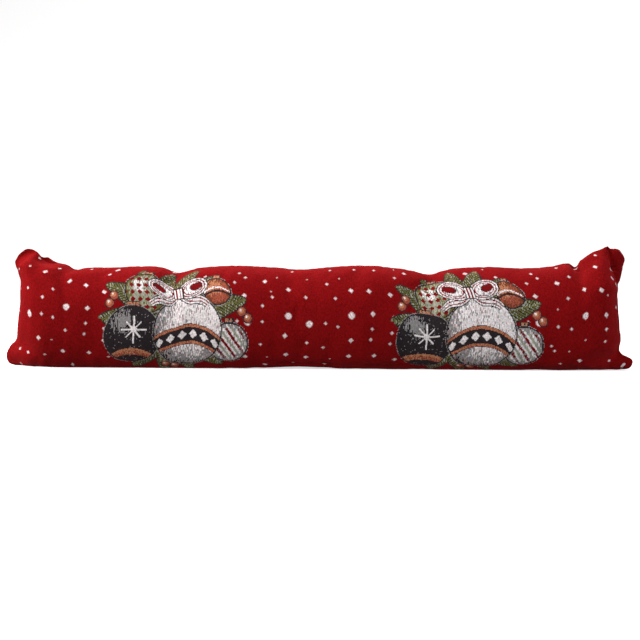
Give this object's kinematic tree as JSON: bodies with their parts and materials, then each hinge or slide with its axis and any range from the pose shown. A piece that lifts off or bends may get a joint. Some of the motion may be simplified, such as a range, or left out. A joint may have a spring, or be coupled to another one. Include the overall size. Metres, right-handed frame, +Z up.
{
  "type": "draught excluder",
  "caption": "Long stuffed cloth cushion with corner ears that stands along the foot of a door to keep draughts out.",
  "frame": {"origin": "middle of the base, on the floor", "axes": "+X along its length, front towards -Y, +Z up"},
  "size_m": [0.8816, 0.11, 0.1685],
  "materials": {
    "tapestry_cloth": "matte woven cloth, red with white dots"
  },
  "bodies": {
    "root": {"stuffed_cover": "tapestry_cloth"}
  },
  "joints": []
}
